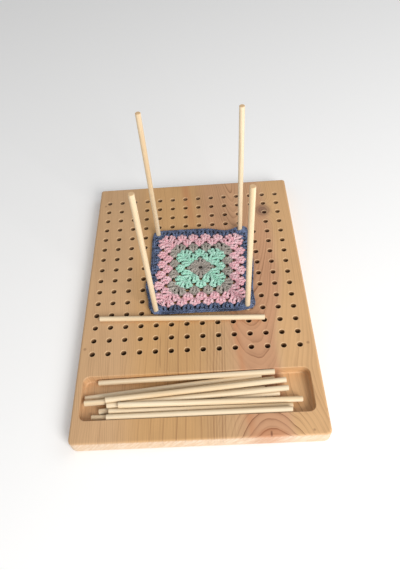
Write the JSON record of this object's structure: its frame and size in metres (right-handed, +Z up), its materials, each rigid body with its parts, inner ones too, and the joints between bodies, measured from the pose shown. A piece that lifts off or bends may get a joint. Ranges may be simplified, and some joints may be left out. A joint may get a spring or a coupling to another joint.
{
  "type": "blocking board",
  "caption": "Wooden blocking board with a grid of blind peg holes, round pegs, a routed peg tray and a crochet square held stretched on standing pegs.",
  "frame": {"origin": "middle of the board's underside, which is the middle of the part's footprint", "axes": "+X to the right seen from the tray end, +Y from the tray to the far edge, +Z up along the standing pegs"},
  "size_m": [0.282, 0.4116, 0.208],
  "materials": {
    "board_wood": "planed softwood, oiled satin",
    "peg_wood": "sanded birch dowel, bare",
    "taupe_yarn": "crochet, soft yarn",
    "mint_yarn": "crochet, soft yarn",
    "pink_yarn": "crochet, soft yarn",
    "navy_yarn": "crochet, soft yarn"
  },
  "bodies": {
    "board": {"board": "board_wood"},
    "peg_back_left": {"peg_back_left": "peg_wood"},
    "peg_back_right": {"peg_back_right": "peg_wood"},
    "peg_front_left": {"peg_front_left": "peg_wood"},
    "peg_front_right": {"peg_front_right": "peg_wood"},
    "peg_on_board": {"peg_on_board": "peg_wood"},
    "crochet_square": {"square_centre_taupe": "taupe_yarn", "square_rounds_mint": "mint_yarn", "square_round_taupe": "taupe_yarn", "square_rounds_pink": "pink_yarn", "square_border_navy": "navy_yarn"},
    "tray_pegs_low": {"tray_peg_02": "peg_wood", "tray_peg_03": "peg_wood", "tray_peg_05": "peg_wood", "tray_peg_07": "peg_wood", "tray_peg_10": "peg_wood"},
    "tray_pegs_middle": {"tray_peg_06": "peg_wood", "tray_peg_09": "peg_wood"},
    "tray_peg_01": {"tray_peg_01": "peg_wood"},
    "tray_peg_04": {"tray_peg_04": "peg_wood"},
    "tray_peg_08": {"tray_peg_08": "peg_wood"},
    "tray_peg_11": {"tray_peg_11": "peg_wood"}
  },
  "joints": [
    {"name": "peg_back_left_pull", "type": "slide", "parent": "board", "child": "peg_back_left", "axis": [0, 0, 1], "range_m": [0, 0.016]},
    {"name": "peg_back_right_pull", "type": "slide", "parent": "board", "child": "peg_back_right", "axis": [0, 0, 1], "range_m": [0, 0.016]},
    {"name": "peg_front_left_pull", "type": "slide", "parent": "board", "child": "peg_front_left", "axis": [0, 0, 1], "range_m": [0, 0.016]},
    {"name": "peg_front_right_pull", "type": "slide", "parent": "board", "child": "peg_front_right", "axis": [0, 0, 1], "range_m": [0, 0.016]},
    {"name": "peg_on_board_lift", "type": "slide", "parent": "board", "child": "peg_on_board", "axis": [0, 0, 1], "range_m": [0, 0.05]},
    {"name": "crochet_square_lift", "type": "slide", "parent": "board", "child": "crochet_square", "axis": [0, 0, 1], "range_m": [0, 0.19]},
    {"name": "tray_pegs_low_lift", "type": "slide", "parent": "board", "child": "tray_pegs_low", "axis": [0, 0, 1], "range_m": [0, 0.03]},
    {"name": "tray_pegs_middle_lift", "type": "slide", "parent": "tray_pegs_low", "child": "tray_pegs_middle", "axis": [0, 0, 1], "range_m": [0, 0.03]},
    {"name": "tray_peg_01_lift", "type": "slide", "parent": "tray_pegs_low", "child": "tray_peg_01", "axis": [0, 0, 1], "range_m": [0, 0.03]},
    {"name": "tray_peg_11_lift", "type": "slide", "parent": "tray_pegs_low", "child": "tray_peg_11", "axis": [0, 0, 1], "range_m": [0, 0.03]},
    {"name": "tray_peg_04_lift", "type": "slide", "parent": "tray_pegs_middle", "child": "tray_peg_04", "axis": [0, 0, 1], "range_m": [0, 0.03]},
    {"name": "tray_peg_08_lift", "type": "slide", "parent": "tray_pegs_middle", "child": "tray_peg_08", "axis": [0, 0, 1], "range_m": [0, 0.03]}
  ]
}
